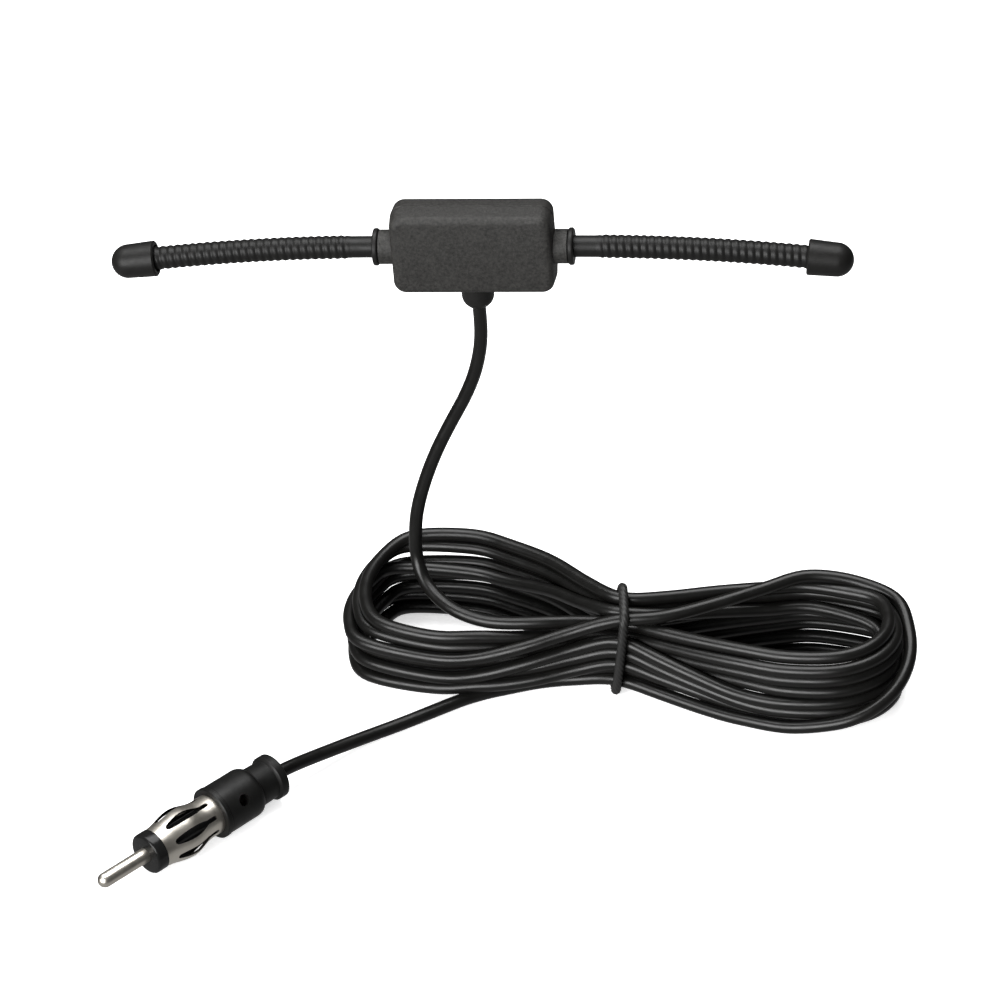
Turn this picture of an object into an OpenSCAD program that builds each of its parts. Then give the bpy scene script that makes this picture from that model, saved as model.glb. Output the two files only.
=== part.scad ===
// Windscreen dipole car radio aerial. Millimetres, +X along the arms, +Z up, front face toward -Y.
// The origin is the centre of the adhesive pad's back face, where it sticks to the glass.

/* [Housing] */
// Width of the housing, along the arms
housing_w = 33; // [30:0.5:45]
// Height of the housing
housing_h = 18.2; // [17:0.2:26]
// Height of the housing's middle above the arms' axis
housing_rise = 0.4; // [0:0.1:1]
// Depth of the rear half
rear_depth = 4.4; // [4.2:0.1:7]
// Depth of the front half
front_depth = 4.8; // [4.6:0.1:7]
// Wall thickness of both halves
wall = 1.5; // [1.3:0.1:2]
// Corner radius, seen from the front
corner_r = 2.8; // [2.4:0.1:4]
// Fillet round the front face
front_fillet = 1.4; // [0.8:0.1:1.8]
// Fillet round the back face
rear_fillet = 1.6; // [0.8:0.1:1.8]
// Moulding draft of each side, from the parting line to the face
draft = 0.25; // [0:0.05:0.5]
// Chamfer on both halves along the parting line
part_groove = 0.2; // [0.1:0.05:0.4]
// Height of the front half's lip, which slides into the rear half
lip_h = 1.2; // [0.8:0.1:1.6]
// Thickness of that lip
lip_t = 0.7; // [0.5:0.05:0.8]
// Margin of the back face beside the adhesive pad
pad_side_margin = 3; // [2:0.1:5]
// Margin of the back face above and below the adhesive pad
pad_top_margin = 3; // [2.6:0.1:4]
// Corner radius of the adhesive pad
pad_corner_r = 1.5; // [0.5:0.1:3]
// Adhesive pad thickness
pad_t = 1; // [0.5:0.1:2]

/* [Necks and arm bushes] */
// Outer diameter of the housing's necks
neck_d = 7; // [6.6:0.1:9]
// Length of a neck outside the wall
neck_len = 2.5; // [1.5:0.1:5]
// Diameter of a bush inside its neck
bush_barrel_d = 5.2; // [5:0.1:5.4]
// Diameter of a bush's outer flange
bush_flange_d = 7.6; // [7:0.1:9]
// Thickness of both flanges of a bush
bush_flange_t = 1.1; // [0.8:0.1:1.3]
// Height of a bush's inner flange, which is flat toward the glass and the front
bush_inner_h = 7.2; // [6.4:0.1:8]
// Dark groove between a neck and its bush's flange
bush_groove = 0.15; // [0.1:0.05:0.3]

/* [Arms] */
// Visible length of the right arm, from bush to cap
right_arm_len = 46.6; // [35:0.2:70]
// Visible length of the left arm, from bush to cap
left_arm_len = 44.6; // [35:0.2:70]
// Angle through which an arm droops along its visible length
arm_droop = 6.6; // [2:0.2:15]
// Diameter of the sleeve between its ribs and at its plain ends
sleeve_d = 4.4; // [4.2:0.05:4.6]
// Diameter over the ribs
rib_d = 4.8; // [4.6:0.05:5]
// Pitch of the helical ribs, the same as the spring's coils below them
rib_pitch = 1.52; // [1.3:0.02:2.4]
// Plain length of the sleeve beside the bush
plain_len = 5.2; // [3:0.2:10]
// Outer diameter of the spring
spring_d = 3.1; // [2.4:0.05:3.2]
// Diameter of the spring's wire
spring_wire_d = 0.7; // [0.5:0.05:0.9]
// Depth to which an arm is pushed into its bush
bush_grip = 4.5; // [3:0.1:4.6]

/* [End caps] */
// Length of a cap
cap_len = 9.3; // [8:0.1:14]
// Diameter at the cap's mouth
cap_d = 7.3; // [6.6:0.1:9]
// Diameter where the rounded end starts
cap_end_d = 6.9; // [6:0.1:9]
// Diameter of the recess in the cap's mouth
cap_mouth_d = 5.6; // [5.4:0.1:6]
// Depth of that recess
cap_mouth_depth = 1.6; // [0.8:0.1:2.5]
// Depth to which an arm is pushed into its cap
cap_grip = 6; // [4:0.1:6.4]
// Edge break at the cap's mouth
cap_rim = 0.3; // [0.1:0.1:0.6]

/* [Board] */
// Gap between the board's ends and the arm bushes
board_end_gap = 1.05; // [0.6:0.05:1.6]
// Gap between the board's top edge and the housing's top wall
board_top_gap = 0.9; // [0.5:0.1:1.2]
// Gap between the board's bottom edge and the gland
board_bottom_gap = 1.65; // [1:0.05:2]
// Board thickness
board_t = 1; // [0.8:0.1:1.6]
// Diameter of the posts that carry the board
post_d = 2.4; // [2:0.1:3]
// Diameter of the pins on the posts
post_pin_d = 1.2; // [0.8:0.1:1.5]
// Height of the pins in front of the board
post_pin_end = 0.3; // [0.1:0.1:0.8]
// Distance of the posts from the board's edges
post_inset = 2; // [1.6:0.1:2.4]
// Length of the matching coil's former
coil_len = 7; // [5:0.2:8]
// Diameter of the matching coil
coil_d = 2.6; // [2:0.1:2.8]
// Turns on the matching coil
coil_turns = 8; // [5:1:10]
// Length of a chip capacitor
chip_len = 2; // [1.6:0.1:2.2]

/* [Coax] */
// Diameter of the coax jacket
coax_d = 2.8; // [2.4:0.1:3]
// Diameter over the braid
braid_d = 2.1; // [1.8:0.1:2.2]
// Diameter of the dielectric
dielectric_d = 1.5; // [1.2:0.1:1.7]
// Diameter of the core
core_d = 0.5; // [0.4:0.05:0.6]
// Step between one layer and the next at the stripped end on the board
strip_step = 0.5; // [0.3:0.1:0.8]
// Length of bare core that lies on the board
core_on_board = 2.4; // [1.5:0.1:4]
// Diameter of the gland
gland_d = 6.6; // [5.8:0.1:8]
// Length of the gland outside the housing
gland_len = 5.2; // [3:0.1:8]
// Length of its straight part, before the dome
gland_straight = 2.6; // [1.5:0.1:3]
// Diameter of the gland inside the wall
gland_barrel_d = 4.8; // [4.2:0.1:5.2]
// Thickness of the gland's inner flange, which has flats like the bushes' flanges
gland_flange_t = 0.8; // [0.6:0.1:1]

/* [Hank] */
// Length of the hank
hank_len = 118; // [100:1:160]
// Width of the hank's two ends
hank_end_w = 35; // [28:0.5:44]
// Width of the hank at the tie
hank_waist_w = 9; // [7:0.5:14]
// Height of the hank
hank_h = 22.4; // [14:0.2:30]
// Thickness of the tie's round cord
tie_d = 1.9; // [1.2:0.1:2.4]

/* [Plug] */
// Diameter of the centre pin
pin_d = 3.1; // [2.8:0.1:3.4]
// Exposed length of the centre pin
pin_len = 12.2; // [10:0.2:14]
// Diameter of the insulator's nose
insulator_d = 8.7; // [8:0.1:9]
// Exposed length of the insulator's nose
insulator_len = 2.6; // [2:0.1:3.4]
// Rounding of the nose's edge
nose_round = 0.6; // [0.3:0.1:1]
// Depth of the nose's shoulder inside the spring sleeve's front ring
nose_seat = 1.5; // [1:0.1:2.5]
// Space between the insulator's core and the spring sleeve's rings
core_room = 1.2; // [0.8:0.1:1.6]
// Diameter of the pin's tail inside the insulator
pin_tail_d = 2; // [1.6:0.1:2.4]
// Length of the pin's tail behind the insulator, which the coax core is soldered into
pin_tail_out = 2; // [1.5:0.1:3]
// Depth of the solder bore in that tail
solder_bore = 2; // [1.5:0.1:3]
// Diameter of the spring sleeve's two plain rings
ring_d = 8.5; // [8.3:0.1:9.2]
// Diameter over the spring sleeve's bowed ribs
bow_d = 10.7; // [10.2:0.1:11.4]
// Visible length of the spring sleeve
sleeve_len = 15; // [12:0.5:18]
// Wall thickness of the spring sleeve
sleeve_t = 0.5; // [0.4:0.05:0.6]
// Slots in the spring sleeve
slot_count = 8; // [6:1:10]
// Width of a slot at the middle of the bow
slot_w = 2.2; // [1.4:0.1:2.4]
// Width of a slot at its ends
slot_end_w = 0.9; // [0.5:0.1:1.1]
// Distance of the slots from the body
slot_from = 1.5; // [0.6:0.1:2.5]
// Share of a slot's length, from the body, that is narrow and straight
slot_neck = 0.22; // [0.1:0.02:0.4]
// Turn of the slots round the plug
slot_turn = 6; // [0:1:22]
// Length of the front ring, in front of the slots
front_ring_len = 2.4; // [1.2:0.1:3]
// Depth to which the spring sleeve is pushed into the body
sleeve_grip = 3.4; // [2:0.1:4]
// Depth to which the insulator's core reaches into the body
core_grip = 2; // [1:0.1:3]
// Length of the plug's body
body_len = 10.7; // [10:0.2:16]
// Diameter of the body's front rim
body_front_d = 11.1; // [10.6:0.1:12]
// Diameter of the body's rear shoulder
body_rear_d = 10.7; // [10.2:0.1:12]
// Length of the body's rounded rear shoulder
shoulder_len = 1.7; // [1:0.1:2.4]
// Height of that shoulder's rounding
shoulder_h = 1.1; // [0.6:0.1:1.3]
// Length of the body's front rim
front_rim_len = 1.2; // [0.8:0.1:2]
// Height of the front rim above the body beside it
front_rim_h = 0.15; // [0.1:0.05:0.4]
// Diameter of the hole in the body's side
side_hole_d = 2.5; // [1.5:0.1:3]
// Distance of that hole from the body's rear
side_hole_at = 5.3; // [3.4:0.1:5.6]
// Turn of that hole round the plug, from straight up
side_hole_turn = 60; // [0:1:90]
// Length of the tail bush behind the body
tail_len = 6.5; // [4:0.1:8]
// Depth to which the tail bush is pushed into the body
tail_grip = 2.4; // [1.5:0.1:4]
// Height of the tail bush's step, which stops it at the body
tail_step = 0.5; // [0.3:0.1:0.8]
// Length of the tail bush's rear rim
tail_rim_len = 2; // [1:0.1:2.6]
// Thickness by which the tail bush narrows in front of its rim
tail_neck = 0.15; // [0.05:0.05:0.6]
// Diameter of the tail bush where it leaves the body
tail_d = 8.6; // [8:0.1:8.8]
// Diameter of the tail bush's rear rim
tail_rim_d = 9.6; // [9:0.1:10]
// Outer diameter of the crimp ferrule
ferrule_d = 4.4; // [4:0.1:5]
// Length of the crimp ferrule
ferrule_len = 3.2; // [2.5:0.1:5]

/* [Hidden] */
$fn = 48;

black_plastic = "#2b2c2b";
black_rubber = "#1f2020";
board_green = "#2f5b3c";
copper = "#b8743a";
nickel = "#c9c6bd";

eps = 0.01;
// Running clearance between pieces that fit inside each other
fit = 0.05;
// Gap between the halves where the lip slides in
lip_gap = 0.1;

part_y = -(pad_t + rear_depth);
housing_top = housing_rise + housing_h / 2;
housing_bottom = housing_rise - housing_h / 2;
neck_end = housing_w / 2 + neck_len;
// Arms start at the outer face of their bushes
arm_x = neck_end + bush_groove + bush_flange_t;
bush_inner_x = housing_w / 2 - wall - fit - bush_flange_t;
gland_end = housing_bottom - gland_len;
gland_inner_z = housing_bottom + wall + fit + gland_flange_t;
board_front_y = part_y + spring_wire_d / 2 + fit;
board_w = 2 * (bush_inner_x - board_end_gap);
board_top = housing_top - wall - board_top_gap;
board_bottom = gland_inner_z + board_bottom_gap;
board_h = board_top - board_bottom;
board_rise = (board_top + board_bottom) / 2;
post_x = board_w / 2 - post_inset;
post_z = board_h / 2 - post_inset;
leg_bore_d = spring_wire_d + 4 * fit;
// Room inside the shallower half, which the inner flanges' flats fit
inner_half_depth = min(rear_depth, front_depth) - wall - fit;
spring_mean_r = (spring_d - spring_wire_d) / 2;

// Points of a rectangle with round corners, centred on the origin
function round_rect(w, h, r, n = 8) = [
    for (corner = [0:3], i = [0:n])
        let (a = 90 * corner + 90 * i / n,
             cx = (corner == 0 || corner == 3 ? 1 : -1) * (w / 2 - r),
             cy = (corner < 2 ? 1 : -1) * (h / 2 - r))
        [cx + r * cos(a), cy + r * sin(a)]];

// Thin plate of a half's outline, drawn in by inset on every side
module plate(inset) {
    linear_extrude(eps)
        polygon(round_rect(housing_w - 2 * inset, housing_h - 2 * inset, corner_r - inset));
}

// Outer form of a half: the parting line at z = 0, the face at z = depth
module half_form(depth, fillet) {
    hull() {
        plate(part_groove);
        translate([0, 0, part_groove]) plate(0);
        for (a = [0:15:90])
            translate([0, 0, depth - fillet + fillet * sin(a) - eps])
                plate(draft + fillet * (1 - cos(a)));
    }
}

// Straight-walled space that starts inset from a half's outline
module half_space(inset, depth) {
    linear_extrude(depth)
        polygon(round_rect(housing_w - 2 * inset, housing_h - 2 * inset, corner_r - inset));
}

// Places a half with its face toward the glass, or toward the driver
module at_rear() {
    translate([0, part_y, housing_rise]) rotate([-90, 0, 0]) children();
}
module at_front() {
    translate([0, part_y, housing_rise]) rotate([90, 0, 0]) children();
}

// Both arm necks, from inside the wall to their outer ends
module necks(d) {
    for (side = [-1, 1])
        translate([side * (housing_w / 2 - wall / 2), part_y, 0])
            rotate([0, side * 90, 0])
                cylinder(h = neck_len + wall / 2, d = d);
}

// Space of one half: everything behind or in front of the parting plane
module half_region(front) {
    depth = rear_depth + front_depth;
    translate([-housing_w, front ? part_y - depth : part_y, -housing_h])
        cube([2 * housing_w, depth, 2 * housing_h]);
}

// Holes that both halves share: arm bushes and gland
module shared_bores() {
    for (side = [-1, 1])
        translate([side * (bush_inner_x - eps), part_y, 0])
            rotate([0, side * 90, 0])
                cylinder(h = neck_end - bush_inner_x + 1, d = bush_barrel_d + 2 * fit);
    translate([0, part_y, housing_bottom - 1])
        cylinder(h = wall + 1 + fit, d = gland_barrel_d + 2 * fit);
}

module board_posts(d, top_y) {
    for (x = [-post_x, post_x], z = [-post_z, post_z])
        translate([x, -pad_t - wall + eps, board_rise + z])
            rotate([90, 0, 0])
                cylinder(h = -pad_t - wall + eps - top_y, d = d);
}

module rear_housing() {
    color(black_plastic)
    difference() {
        union() {
            difference() {
                union() {
                    at_rear() half_form(rear_depth, rear_fillet);
                    intersection() {
                        necks(neck_d);
                        half_region(false);
                    }
                }
                at_rear() translate([0, 0, -eps]) half_space(wall, rear_depth - wall + eps);
                at_rear() translate([0, 0, -eps])
                    half_space(wall - lip_t - lip_gap, lip_h + lip_gap + eps);
            }
            board_posts(post_d, board_front_y + board_t);
            board_posts(post_pin_d, board_front_y - post_pin_end);
        }
        shared_bores();
    }
}

module front_cover() {
    color(black_plastic)
    difference() {
        union() {
            difference() {
                union() {
                    at_front() half_form(front_depth, front_fillet);
                    intersection() {
                        necks(neck_d);
                        half_region(true);
                    }
                }
                at_front() translate([0, 0, -eps]) half_space(wall, front_depth - wall + eps);
            }
            at_rear() translate([0, 0, -wall])
                difference() {
                    half_space(wall - lip_t, wall + lip_h);
                    translate([0, 0, -1]) half_space(wall, wall + lip_h + 2);
                }
        }
        shared_bores();
    }
}

module adhesive_pad() {
    color("#3a3a3c")
    rotate([90, 0, 0])
        linear_extrude(pad_t)
            polygon(round_rect(housing_w - 2 * pad_side_margin, housing_h - 2 * pad_top_margin,
                pad_corner_r));
}

module circuit_board() {
    color(board_green)
    translate([0, board_front_y + board_t, board_rise])
        rotate([90, 0, 0])
            difference() {
                linear_extrude(board_t) square([board_w, board_h], center = true);
                for (x = [-post_x, post_x], z = [-post_z, post_z])
                    translate([x, z, -1]) cylinder(h = board_t + 2, d = post_pin_d + 2 * fit);
            }
}

// Wound former, lying on the board above the arms' legs
module matching_coil() {
    turn_pitch = coil_len / (coil_turns + 2);
    turn_d = turn_pitch * 0.9;
    color(copper)
    translate([-coil_len / 2, board_front_y - coil_d / 2, board_rise + post_z - post_d / 2])
        rotate([0, 90, 0])
            rotate_extrude() {
                square([coil_d / 2 - turn_d / 2, coil_len]);
                square([coil_d / 2, turn_pitch]);
                translate([0, coil_len - turn_pitch]) square([coil_d / 2, turn_pitch]);
                for (i = [1:coil_turns])
                    translate([coil_d / 2 - turn_d / 2, turn_pitch * (i + 0.5)])
                        circle(d = turn_d, $fn = 16);
            }
}

// Two chips, each a body between two raised end terminations
module chip_capacitors() {
    chip_w = chip_len * 0.6;
    chip_h = chip_len * 0.4;
    term = chip_len * 0.2;
    color("#c9b58a")
    for (side = [-1, 1])
        translate([side * (board_w / 4 + chip_len / 4), board_front_y, board_rise - post_z]) {
            translate([0, -chip_h / 2 + fit / 2, 0])
                cube([chip_len - term, chip_h - fit, chip_w - fit], center = true);
            for (end = [-1, 1])
                translate([end * (chip_len - term) / 2, -chip_h / 2, 0])
                    cube([term, chip_h, chip_w], center = true);
        }
}

// Everything of one arm is drawn along +X from the bush's outer face, then placed
module place_arm(side) {
    translate([0, part_y, 0])
        rotate([0, 0, side > 0 ? 0 : 180])
            translate([arm_x, 0, 0])
                children();
}

// Round flange with two flats, bored through
module flatted_flange(d, t, bore_d) {
    difference() {
        intersection() {
            cylinder(h = t, d = d);
            translate([-d, -inner_half_depth, 0]) cube([2 * d, 2 * inner_half_depth, t]);
        }
        translate([0, 0, -1]) cylinder(h = t + 2, d = bore_d);
    }
}

// Rubber bush: inner flange, barrel in the neck and rounded outer flange
module grommet(side) {
    from = bush_inner_x - arm_x;
    rim_r = bush_flange_t * 0.35;
    seat_d = sleeve_d + 2 * fit;
    color(black_rubber)
    place_arm(side)
        rotate([0, 90, 0]) {
            translate([0, 0, from]) flatted_flange(bush_inner_h, bush_flange_t, leg_bore_d);
            rotate_extrude()
                difference() {
                    union() {
                        translate([0, from + bush_flange_t])
                            square([bush_barrel_d / 2, -from - bush_flange_t]);
                        translate([0, -bush_flange_t])
                            square([bush_flange_d / 2 - rim_r, bush_flange_t]);
                        translate([0, rim_r - bush_flange_t])
                            square([bush_flange_d / 2, bush_flange_t - 2 * rim_r]);
                        for (z = [rim_r - bush_flange_t, -rim_r])
                            translate([bush_flange_d / 2 - rim_r, z]) circle(rim_r, $fn = 24);
                    }
                    translate([-1, from - 1]) square([1 + leg_bore_d / 2, 2 - from]);
                    translate([-1, -bush_grip]) square([1 + seat_d / 2, bush_grip + 1]);
                }
        }
}

// Centre line of an arm at distance s: straight in the bush, an arc, straight in the cap
function arm_angle(s, len) = arm_droop * min(max(s / len, 0), 1);
function arm_point(s, len) =
    let (r = len / (arm_droop * PI / 180), a = arm_angle(s, len), past = max(s - len, 0))
    [min(s, 0) + r * sin(a) + past * cos(a), 0, -r * (1 - cos(a)) - past * sin(a)];

// Point at radius r and turn angle phi round an arm's centre line
function round_arm(s, len, r, phi) =
    let (a = arm_angle(s, len))
    arm_point(s, len) + r * cos(phi) * [0, 1, 0] + r * sin(phi) * [sin(a), 0, cos(a)];

// Height of the helical rib above the plain sleeve, fading in beside the bush
function rib_height(s, phi, len) =
    let (fade = min(max((s - plain_len) / rib_pitch + 0.5, 0), 1) * min(max(len + cap_mouth_depth - s, 0), 1))
    fade * (rib_d - sleeve_d) / 2 * (0.5 + 0.5 * cos(360 * s / rib_pitch - phi));

// Closed tube from rings of n points each: outer rings first, then inner rings
module ring_tube(outer, inner, n) {
    points = concat([for (ring = outer) each ring], [for (ring = inner) each ring]);
    first_in = len(outer) * n;
    last_out = first_in - n;
    last_in = first_in + (len(inner) - 1) * n;
    polyhedron(points, concat(
        [for (i = [0:len(outer) - 2], k = [0:n - 1])
            each ring_faces(i * n, (i + 1) * n, k, n)],
        [for (i = [0:len(inner) - 2], k = [0:n - 1])
            each ring_faces(first_in + (i + 1) * n, first_in + i * n, k, n)],
        [for (k = [0:n - 1]) [k, (k + 1) % n, first_in + (k + 1) % n, first_in + k]],
        [for (k = [0:n - 1])
            [last_out + k, last_in + k, last_in + (k + 1) % n, last_out + (k + 1) % n]]));
}

// Ribbed rubber sleeve
module sleeve(side, len) {
    n = 12;
    start = -bush_grip;
    end = len + cap_grip;
    ribs_from = plain_len - rib_pitch / 2;
    ribs_to = len + cap_mouth_depth;
    count = ceil((ribs_to - ribs_from) * 4 / rib_pitch);
    bore_r = (spring_d / 2 + fit) / cos(180 / n);
    stations = concat([start, 0, plain_len / 2],
        [for (i = [0:count]) ribs_from + (ribs_to - ribs_from) * i / count], [end]);
    bore_count = 10;
    bore_stations = [for (i = [0:bore_count]) start + (end - start) * i / bore_count];
    color(black_rubber)
    place_arm(side)
        ring_tube(
            [for (s = stations) [for (k = [0:n - 1])
                round_arm(s, len, sleeve_d / 2 + rib_height(s, 360 * k / n, len), 360 * k / n)]],
            [for (s = bore_stations) [for (k = [0:n - 1])
                round_arm(s, len, bore_r, 360 * k / n)]],
            n);
}

// Radius of the spring's coils at distance s, growing over the first turn
function coil_r(s, start) = spring_mean_r * min(max((s - start) / rib_pitch, 0), 1);
function coil_turn(s, start) = 360 * (s - start) / rib_pitch;

// Radiating spring: a straight leg on the board, then coils all along the arm
module spring(side, len) {
    turn_steps = 8;
    leg_start = post_x - arm_x;
    start = fit - bush_grip;
    end = len + cap_grip - spring_wire_d / 2 - fit;
    count = floor((end - start) / rib_pitch * turn_steps);
    stations = [for (i = [1:count]) start + i * rib_pitch / turn_steps];
    path = concat([[leg_start, 0, 0], [start, 0, 0]],
        [for (s = stations) round_arm(s, len, coil_r(s, start), coil_turn(s, start))]);
    outward = concat([[0, 1, 0], [0, 1, 0]],
        [for (s = stations) round_arm(s, len, 1, coil_turn(s, start)) - arm_point(s, len)]);
    color(copper)
    place_arm(side) swept_tube(path, spring_wire_d / 2, 4, outward);
}

function unit(v) = v / norm(v);

// Direction of a path at point i
function heading(path, i) =
    unit(path[min(i + 1, len(path) - 1)] - path[max(i - 1, 0)]);

// Ring of n points round point p, square to direction dir, starting on the side of ref
function ring(p, dir, r, n, ref) =
    let (u = unit(ref - (ref * dir) * dir), v = cross(dir, u))
    [for (k = [0:n - 1]) p + r * cos(360 * k / n) * u + r * sin(360 * k / n) * v];

// Two triangles between point k of ring a and point k + 1 of ring b
function ring_faces(a, b, k, n) =
    [[a + k, b + (k + 1) % n, a + (k + 1) % n], [a + k, b + k, b + (k + 1) % n]];

// Solid round bar swept along a path, with a reference direction for each point
module swept_tube(path, r, n, refs) {
    m = len(path);
    points = [for (i = [0:m - 1]) each ring(path[i], heading(path, i), r, n, refs[i])];
    polyhedron(points, concat(
        [for (i = [0:m - 2], k = [0:n - 1]) each ring_faces(i * n, (i + 1) * n, k, n)],
        [[for (k = [0:n - 1]) k]],
        [[for (k = [n - 1:-1:0]) (m - 1) * n + k]]));
}

// Bullet-shaped rubber cap with a recessed mouth
module cap(side, len) {
    end_r = cap_end_d / 2;
    color(black_rubber)
    place_arm(side)
        translate(arm_point(len, len))
            rotate([0, 90 + arm_droop, 0])
                difference() {
                    rotate_extrude()
                        intersection() {
                            union() {
                                polygon([[0, 0], [cap_d / 2 - cap_rim, 0], [cap_d / 2, cap_rim],
                                    [end_r, cap_len - end_r], [0, cap_len - end_r]]);
                                translate([0, cap_len - end_r]) circle(end_r);
                            }
                            square([cap_d, cap_len]);
                        }
                    translate([0, 0, -1]) cylinder(h = cap_grip + 1, d = sleeve_d + 2 * fit);
                    translate([0, 0, -1]) cylinder(h = cap_mouth_depth + 1, d = cap_mouth_d);
                }
}

// Rubber gland: inner flange, barrel in the wall and domed outer end
module cable_gland() {
    dome_h = gland_len - gland_straight;
    // The dome is cut off at this angle of its round, where the coax comes out
    dome_to = 63;
    color(black_rubber)
    translate([0, part_y, housing_bottom])
        rotate([180, 0, 0]) {
            translate([0, 0, -wall - fit - gland_flange_t])
                flatted_flange(gland_d, gland_flange_t, coax_d + 2 * fit);
            rotate_extrude()
                difference() {
                    union() {
                        translate([0, -wall - fit])
                            square([gland_barrel_d / 2, wall + 3 * fit]);
                        translate([0, fit]) square([gland_d / 2, gland_len - dome_h - fit]);
                        translate([0, gland_len - dome_h])
                            polygon(concat([[0, 0]],
                                [for (a = [0:9:dome_to]) [gland_d / 2 * cos(a),
                                    dome_h * sin(a) / sin(dome_to)]],
                                [[0, dome_h]]));
                    }
                    translate([-1, -gland_len]) square([1 + coax_d / 2 + fit, 3 * gland_len]);
                }
        }
}

// Stripped coax: jacket, braid, dielectric and core, from z = 0 upward
module stripped_end(jacket, braid, dielectric, core) {
    rotate_extrude()
        polygon([[0, 0], [coax_d / 2, 0], [coax_d / 2, jacket], [braid_d / 2, jacket],
            [braid_d / 2, braid], [dielectric_d / 2, braid], [dielectric_d / 2, dielectric],
            [core_d / 2, dielectric], [core_d / 2, core], [0, core]]);
}

module coax_board_end() {
    reach = board_bottom - gland_end;
    dielectric = reach - 4 * fit;
    color(black_rubber)
    translate([0, part_y, gland_end])
        stripped_end(dielectric - 2 * strip_step, dielectric - strip_step, dielectric,
            reach + core_on_board);
}

// Surface on which the hank and the plug lie, and the hank's place on it
floor_z = -100;
hank_at = [26, -13.5];
hank_turn = -9.5;
// The waist lies this far toward the viewer from the line between the ends
waist_shift = -3.2;
// Height of the hank's waist above the surface, where the tie passes below
tie_room = tie_d + 2 * fit;

// Route of the free lead, from the gland to the top of the hank
lead_route = [[0, part_y, gland_end], [0, -5.4, -19], [-0.5, -5.4, -24], [-2, -5.4, -30],
    [-4.5, -5.5, -36], [-8, -5.7, -42.5], [-11.5, -6, -49.5], [-14.5, -6.5, -57],
    [-16.5, -7, -64], [-17.2, -7.5, -70], [-17.2, -8, -74.5],
    [-17.2, -8, floor_z + hank_h]];

// Route of the free lead, from under the hank to the plug
tail_route = [[-5, -23.2, -98.6], [-9, -25.8, -98.6], [-14, -29.4, -98.6], [-19, -33, -98.6],
    [-24, -36.8, -98.3], [-29, -41.2, -97.6], [-33, -45.2, -96.8], [-36.5, -49.2, -95.8],
    [-39.3, -52.7, -94.9]];

// Half width of the hank at distance p from its waist
function hank_half(p) =
    let (end_r = hank_end_w / 2, from = hank_len / 2 - end_r, waist = hank_waist_w / 2)
    p > from ? sqrt(max(pow(end_r, 2) - pow(p - from, 2), 0))
        : waist + (end_r - waist) * (1 - cos(180 * p / from)) / 2;
function waist_offset(p) =
    let (from = hank_len / 2 - hank_end_w / 2)
    p > from ? 0 : waist_shift * (1 + cos(180 * p / from)) / 2;

// Outline of the hank, walked round by angle so that its ends stay round
function hank_outline(n = 36) = concat(
    [for (i = [0:n - 1]) let (p = -hank_len / 2 * cos(180 * i / n))
        [p, waist_offset(abs(p)) - hank_half(abs(p))]],
    [for (i = [0:n - 1]) let (p = hank_len / 2 * cos(180 * i / n))
        [p, waist_offset(abs(p)) + hank_half(abs(p))]]);

module at_hank() {
    translate([hank_at[0], hank_at[1], floor_z]) rotate([0, 0, hank_turn]) children();
}

// Box round the waist's section, grown on all sides
module waist_box(grow, t) {
    translate([-t / 2, waist_shift - hank_waist_w / 2 + tie_room - grow, tie_room - grow])
        cube([t, hank_waist_w - 2 * tie_room + 2 * grow, hank_h - 2 * tie_room + 2 * grow]);
}

// Hank of lead, with a groove at its waist in which the tie lies
module coax_hank() {
    color(black_rubber)
    at_hank()
        difference() {
            linear_extrude(hank_h) polygon(hank_outline());
            difference() {
                waist_box(2 * tie_room, tie_room);
                waist_box(0, 2 * tie_room);
            }
        }
}

// Tie: a loop of round cord in the hank's groove
module hank_tie() {
    n = 8;
    r = tie_d / 2;
    loop_w = hank_waist_w - tie_d - 2 * fit;
    loop_h = hank_h - tie_d - 2 * fit;
    path = round_rect(loop_w, loop_h, r + fit, 4);
    color(black_rubber)
    at_hank()
        translate([0, waist_shift, hank_h / 2])
            rotate([90, 0, 90])
                closed_loop([for (p = path) [p[0], p[1], 0]], r, n);
}

// Round bar swept round a closed path that lies in a plane
module closed_loop(path, r, n) {
    m = len(path);
    points = [for (i = [0:m - 1])
        let (dir = unit(path[(i + 1) % m] - path[(i + m - 1) % m]))
        each ring(path[i], dir, r, n, [0, 0, 1])];
    polyhedron(points, [for (i = [0:m - 1], k = [0:n - 1])
        each ring_faces(i * n, ((i + 1) % m) * n, k, n)]);
}

module coax_lead() {
    color(black_rubber)
    swept_tube(lead_route, coax_d / 2, 8, [for (p = lead_route) [0, 1, 0]]);
}

plug_turn = 230;
plug_rear = [-42.3, -56.2];
plug_dir = [cos(plug_turn), sin(plug_turn), 0];
plug_start = [plug_rear[0], plug_rear[1], floor_z + max(bow_d, body_front_d) / 2];

module coax_tail() {
    path = concat(tail_route, [plug_start - 0.6 * plug_dir, plug_start]);
    color(black_rubber)
    swept_tube(path, coax_d / 2, 8, [for (p = path) [0, 0, 1]]);
}

// The plug is drawn along +Z from its rear end to its tip, then laid on the surface
module at_plug() {
    translate(plug_start) rotate([0, 90, plug_turn]) children();
}

body_from = tail_len;
body_end = body_from + body_len;
bow_end = body_end + sleeve_len;
nose_end = bow_end + insulator_len;
insulator_core_d = ring_d - 2 * (sleeve_t + core_room);
pin_tail_from = body_end - core_grip - pin_tail_out;
// Small edge break of the plug's rims
edge = 0.2;

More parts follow.
